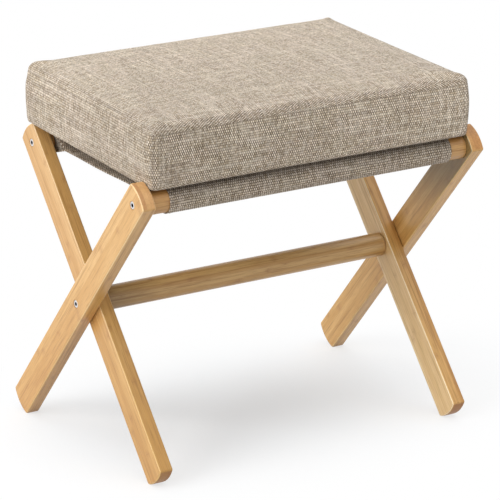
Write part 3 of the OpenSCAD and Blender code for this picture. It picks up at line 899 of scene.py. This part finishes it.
def sling_path():
    """The middle of the sling's cloth in Y and Z, from the rear hem to the front one: on the
    panel to the seam, out and over the rail on an arc, back below to the seam, and across."""
    radius = rail_radius + sling_room + cloth_thickness / 2
    dip = math.asin(panel_sag / seam_distance)
    wrap = math.acos(radius / seam_distance)
    turn = np.linspace(wrap, 2 * math.pi - wrap, 60)
    hem = np.array([[seam_distance + hem_length, -hem_drop], [seam_distance, -hem_drop]])
    ring = radius * np.stack([np.cos(turn), -np.sin(turn)], -1)
    local = np.concatenate([hem, ring, [[seam_distance, 0.0]]])
    c, s = math.cos(math.pi + dip), math.sin(math.pi + dip)
    rear = np.stack([c * local[:, 0] - s * local[:, 1], s * local[:, 0] + c * local[:, 1]], -1)
    rear = rear + [rear_axis.y, rear_axis.z]
    front = rear[::-1] * [-1, 1]
    corners = np.concatenate([rear, front])
    length = np.concatenate([[0], np.cumsum(np.linalg.norm(np.diff(corners, axis=0), axis=1))])
    steps = np.linspace(0, length[-1], 300)
    path = np.stack([np.interp(steps, length, corners[:, k]) for k in (0, 1)], -1)
    soft = path.copy()
    soft[1:-1] = (path[:-2] + 2 * path[1:-1] + path[2:]) / 4
    on_rail = np.hypot(np.abs(path[:, 0]) - rear_axis.y, path[:, 1] - rear_axis.z) < radius + 0.0008
    path = np.where(on_rail[:, None], path, soft)
    return path, steps


def thicken(part, thickness):
    """Gives a sheet of cloth its thickness, half to each side."""
    wall = part.modifiers.new("cloth", "SOLIDIFY")
    wall.thickness = thickness
    wall.offset = 0


def slack(x, y):
    """How far the free panel hangs below its straight line: one plus a sine along X times one
    along Y, which fades out towards the seams."""
    wave_depth = 0.0006
    wave = 1 + np.sin(x * 31 + 0.7) * np.sin(y * 47 + 1.1)
    return ease(-np.abs(y), -0.098, -0.04) * wave_depth * wave


def make_sling(path, steps, finish):
    """The cloth: the path carried along X, less its slack."""
    xs = places(sling_half, 0.014, 0.002, 0.005)
    x, row = np.meshgrid(xs, np.arange(len(path)))
    y, z = path[row, 0], path[row, 1]
    points = np.stack([x, y, z - slack(x, y)], -1).reshape(-1, 3)
    faces = grid_faces(len(path), len(xs))
    cloth = np.stack([x, steps[row] + weave_start], -1).reshape(-1, 2)
    sling = piece("sling", [(points, faces)], finish, cloth[faces])
    thicken(sling, cloth_thickness)
    return sling


def stitch_rows(rows):
    """Starts and ends of stitches along rows, each given by its two ends."""
    starts, ends = [], []
    for first, last in rows:
        first, last = np.array(first), np.array(last)
        span = np.linalg.norm(last - first)
        count = int(span / stitch_pitch)
        t = (np.arange(count) + 0.5 - stitch_share / 2) / count
        starts.append(first + (last - first) * t[:, None])
        ends.append(first + (last - first) * (t + stitch_share / count)[:, None])
    return np.concatenate(starts), np.concatenate(ends)


def hem_stitches(path, steps, x):
    """Starts and ends of stitches along a side hem, at x all along the cloth: on the outside
    round the rails and on both faces of the panel, just off the cloth, with each one's way up."""
    way = np.gradient(path, steps, axis=0)
    off = np.stack([-way[:, 1], way[:, 0]], -1)
    far = np.argmax(path[:, 0])
    off *= np.sign(off[far, 0])
    free_end = 0.016
    at = np.arange(free_end, steps[-1] - free_end, stitch_pitch)
    starts, ends, ups = [], [], []
    for face in (1, -1):
        rows = []
        for along in (at, at + stitch_share * stitch_pitch):
            place = np.stack([np.interp(along, steps, path[:, k]) for k in (0, 1)], -1)
            up = np.stack([np.interp(along, steps, off[:, k]) for k in (0, 1)], -1) * face
            place = place + up * (cloth_thickness / 2 + thread_lift)
            place[:, 1] -= slack(x, place[:, 0])
            rows.append(np.column_stack([np.full(len(at), x), place]))
        # The inner face is seen on the panel alone, and the seams have stitches of their own
        out = np.abs(rows[0][:, 1])
        panel_reach = 0.094
        seam_room = 0.004
        keep = ((face > 0) | (out < panel_reach)) & (np.abs(out - seam_y) > seam_room)
        starts.append(rows[0][keep])
        ends.append(rows[1][keep])
        ups.append(np.column_stack([np.zeros(keep.sum()), up[keep]]))
    return tuple(np.concatenate(each) for each in (starts, ends, ups))


def sleeve_end(x, sign):
    """Cloth that closes a sleeve's end between the rail and the seam: straight lines from the
    near arc of the rail's circle to a point inside the seam, bulging a little outwards."""
    off_rail = 0.0004
    radius = rail_radius + off_rail
    tip = seam_distance - 0.0015
    wrap = math.acos((radius + off_rail) / tip)
    turn, share = np.meshgrid(np.linspace(-wrap, wrap, 25), np.linspace(0, 1, 17), indexing="ij")
    out = radius * (1 - share) * np.cos(turn) + tip * share
    up = radius * (1 - share) * np.sin(turn)
    lean = -sign * math.asin(panel_sag / seam_distance)
    y = rear_axis.y - (out * math.cos(lean) - up * math.sin(lean) * sign)
    z = rear_axis.z - panel_sag * out / seam_distance + up
    fullness = 0.0007 * np.sin(share * math.pi) * (1 + 0.4 * np.cos(turn * 9))
    wide = x + np.sign(x) * fullness
    points = np.stack([wide, y * sign, z], -1).reshape(-1, 3)
    faces = grid_faces(*turn.shape)
    cloth = np.stack([y, z + 7.9], -1).reshape(-1, 2)[faces]
    return points, faces if x * sign > 0 else faces[:, ::-1], cloth


sling_line, sling_steps = sling_path()
halfway = float(sling_steps[-1]) / 2
to_rail = float(abs(sling_steps[np.argmax(sling_line[:, 0])] - halfway))
sling_linen = linen("linen_sling", tone=1.085, open_weave=1.6, under=(halfway + weave_start, to_rail))
sling = make_sling(sling_line, sling_steps, sling_linen)
rows = []
row_end = sling_half - 0.006
side_row = sling_half - 0.005
for sign in (-1, 1):
    for inward in (0.003, 0.009):
        for level in (hem_drop + cloth_thickness / 2, -thread_lift - cloth_thickness / 2):
            place = (sign * (seam_y - inward), seam_z + level)
            rows.append(((-row_end, *place), (row_end, *place)))
seams = [rods(*stitch_rows(rows), thread_radius, bow=thread_bow)]
for sign in (-1, 1):
    first, last, up = hem_stitches(sling_line, sling_steps, sign * side_row)
    seams.append(rods(first, last, thread_radius, bow=thread_bow, up=up))
stitching = piece("sling_stitching", seams, sling_thread)
end_x = sling_half - 0.0015
ends = [sleeve_end(x * end_x, sign) for x in (-1, 1) for sign in (-1, 1)]
end_shapes = [(points, faces) for points, faces, cloth in ends]
end_cloth = np.concatenate([cloth for points, faces, cloth in ends])
# The cloth at the sleeves' ends is darkened by a tone of 0.42: painted shade
sleeve_ends = piece("sleeve_ends", end_shapes, linen("linen_ends", tone=0.42), end_cloth)
thicken(sleeve_ends, 0.0008)
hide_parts("sling_front_sleeve", "sling_rear_sleeve", "sling_panel")
for part in (sling, stitching, sleeve_ends):
    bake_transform(part)


# Zip, slider and fastening strips
def on_back(x, z, lift):
    """Places on the cushion's back at x and a height z above its base, lifted off it. The back
    lies at half the depth, drawn in and bulged as the form is, and is tilted with it."""
    share = np.clip(x / half_long, -1, 1)
    level = (2 * z / cover_height - 1) ** 2
    y = drawn_in(half_deep, half_deep, share, level)
    return lay_down(np.stack([x, y + lift, z], -1).reshape(-1, 3))


def band(length, low, high, proud, fullness):
    """A strip of cloth on the cushion's back. Its section is a flat oval, sunk a little into the
    cushion: its width goes with a power of the cosine, its height with one of the sine."""
    xs = np.linspace(-length / 2, length / 2, 73)
    turn = np.linspace(0, 2 * np.pi, 20, endpoint=False)
    mid, wide = (low + high) / 2, (high - low) / 2
    x, t = np.meshgrid(xs, turn, indexing="ij")
    across, height = np.cos(t), np.abs(np.sin(t))
    z = mid + wide * np.sign(across) * np.abs(across) ** 0.6
    sunk = 0.0006
    lift = np.where(np.sin(t) > 0, proud * height**fullness, -sunk * height)
    points = on_back(x, z, lift)
    count, last = len(turn), (len(xs) - 1) * len(turn)
    j = np.arange(count // 2 - 1)
    cap = np.stack([j, j + 1, count - 2 - j, (count - 1 - j) % count], -1)
    faces = np.concatenate([grid_faces(len(xs), count, closed=True), cap, last + cap[:, ::-1]])
    cloth = np.stack([points[:, 0], points[:, 2] + points[:, 1]], -1)
    return points, faces[:, ::-1], cloth


mid_height = cover_height / 2
lip_near = 0.0026
lip_far = 0.012
lip_proud = 0.0013
lips, lip_maps = [], []
for low, high in ((-lip_far, -lip_near), (lip_near, lip_far)):
    points, faces, cloth = band(zip_length, mid_height + low, mid_height + high, lip_proud, 0.5)
    lips.append((points, faces))
    lip_maps.append((cloth + [5.0, 2.2])[faces])
zip_lips = piece("zip_lips", lips, cover_linen, np.concatenate(lip_maps))
ribbon_half = 0.006
ribbon_proud = 0.0004
ribbon = band(zip_length - 0.004, mid_height - ribbon_half, mid_height + ribbon_half, ribbon_proud, 0.3)
zip_ribbon = piece("zip_ribbon", [ribbon[:2]], dark_tape)
# Each tooth is a turn of a coil, from a little past the middle up or down in turn
tooth_pitch = 0.0009
tooth_lift = 0.0009
tooth_radius = 0.00042
teeth_end = zip_length / 2 - 0.006
tooth_x = np.arange(-teeth_end, teeth_end, tooth_pitch)
odd = np.where(np.arange(len(tooth_x)) % 2, 1, -1)
starts = on_back(tooth_x, mid_height - odd * 0.0004, tooth_lift)
ends = on_back(tooth_x, mid_height + odd * 0.0021, tooth_lift)
coil = rods(starts, ends, tooth_radius, bow=0.0001, up=(0, 1, 0))
zip_teeth = piece("zip_teeth", [coil], thread("zip_coil", COIL_BROWN))
# The slider's body, its bridge and its hanging pull
slider_x = -zip_length / 2 + 0.009
at = on_back(np.array([slider_x]), np.array([mid_height]), 0.0016)[0]
slider_parts = [
    pebble(at, (0.0045, 0.0011, 0.0027), 4, 6),
    pebble(at + [0, 0.0011, 0], (0.0026, 0.0009, 0.0009), 3, 5),
    pebble(at + [0, 0.0014, -0.0115], (0.0021, 0.0004, 0.0105), 5, 6),
]
zip_slider = piece("zip_slider", slider_parts, zinc("zinc_slider", tuple(at), socket=0.0001))
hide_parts("cushion_zip")
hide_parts("cushion_zip_slider")
for part, slot in ((zip_lips, "linen"), (zip_ribbon, "tape"), (zip_teeth, "tape"), (zip_slider, "steel")):
    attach(part, "cushion")
for node in ("cushion_loop_strips", "sling_hook_strips"):
    dress(node, dark_tape)


# Floor, light and camera
def seen_directly(f):
    """1 for rays from the camera, from gloss and through glass."""
    path = f.node("ShaderNodeLightPath")
    glossy, through = path.also("Is Glossy Ray"), path.also("Is Transmission Ray")
    return path.math("MAXIMUM", glossy).math("MAXIMUM", through)


def floor_finish():
    """White, with the object's shadow: where it is seen, a lit surface that goes over into
    plain white away from the stool, and a plain pale one for the light that it throws back."""
    f = Finish("floor")
    x, y, z = f.place()
    # The lit patch is an oval: its middle, and half its length and depth
    x = (x + 0.013) / 0.575
    y = (y - 0.011) / 0.3
    away = f.ease((x * x + y * y).math("SQRT"), 0.03, 1.0)
    lit = f.node("ShaderNodeBsdfDiffuse", inputs={"Color": (0.865, 0.89, 0.92, 1)})
    glow = f.node("ShaderNodeEmission", inputs={"Color": (1, 1, 1, 1), "Strength": 0.062})
    shadow = f.node("ShaderNodeAddShader", inputs={0: lit, 1: glow})
    white = f.node("ShaderNodeEmission", inputs={"Color": (1, 1, 1, 1), "Strength": 1.0})
    seen = f.node("ShaderNodeMixShader", inputs={0: away, 1: shadow, 2: white})
    plain = f.node("ShaderNodeBsdfDiffuse", inputs={"Color": (0.6, 0.59, 0.58, 1)})
    f.close(f.node("ShaderNodeMixShader", inputs={0: seen_directly(f), 1: plain, 2: seen}))
    return f.material


floor_reach = 30
floor_corners = np.array([[-1.0, -1, 0], [1, -1, 0], [1, 1, 0], [-1, 1, 0]]) * floor_reach
floor = piece("floor", [(floor_corners, np.array([[0, 1, 2, 3]]))], floor_finish())

room = Finish("studio", kind="worlds")
scene.world = room.material
white = room.node("ShaderNodeBackground", inputs={"Color": (1, 1, 1, 1), "Strength": 1.0})
fill = room.node("ShaderNodeBackground", inputs={"Color": (0.975, 0.99, 1, 1), "Strength": 0.605})
seen = room.node("ShaderNodeMixShader", inputs={0: seen_directly(room), 1: fill, 2: white})
room.node("ShaderNodeOutputWorld", inputs={"Surface": seen})

# A wide soft light overhead, and a narrower one low on the left: how strong, how many degrees
# wide, which way it lies, and its colour
for lamp_name, strength, width, towards, colour in (
    ("overhead", 0.36, 80, (0, 0, 1), (1.0, 0.99, 0.975)),
    ("left", 0.56, 40, (-0.9, 0, 0.42), (1.0, 0.985, 0.96)),
):
    lamp = bpy.data.lights.new(lamp_name, "SUN")
    lamp.energy = strength * math.pi
    lamp.angle = math.radians(width)
    lamp.color = colour
    light = bpy.data.objects.new(lamp_name, lamp)
    light.rotation_mode = "QUATERNION"
    light.rotation_quaternion = Vector(towards).to_track_quat("Z", "Y")
    scene.collection.objects.link(light)

# The photograph's camera: from which side, how high and how far away it looks at the target
azimuth, elevation = math.radians(-31.39), math.radians(18.532)
distance = 3.7093
target = Vector((0.00404, -0.00539, 0.21737))
back = Vector((
    math.sin(azimuth) * math.cos(elevation),
    -math.cos(azimuth) * math.cos(elevation),
    math.sin(elevation),
))
camera_data = bpy.data.cameras.new("camera")
camera_data.sensor_width = 36.0
camera_data.lens = 214.235
camera_data.clip_start, camera_data.clip_end = 0.05, 200
camera = bpy.data.objects.new("camera", camera_data)
camera.location = target + back * distance
camera.rotation_mode = "QUATERNION"
camera.rotation_quaternion = (-back).to_track_quat("-Z", "Y")
scene.collection.objects.link(camera)
scene.camera = camera
scene.view_settings.view_transform = "Standard"
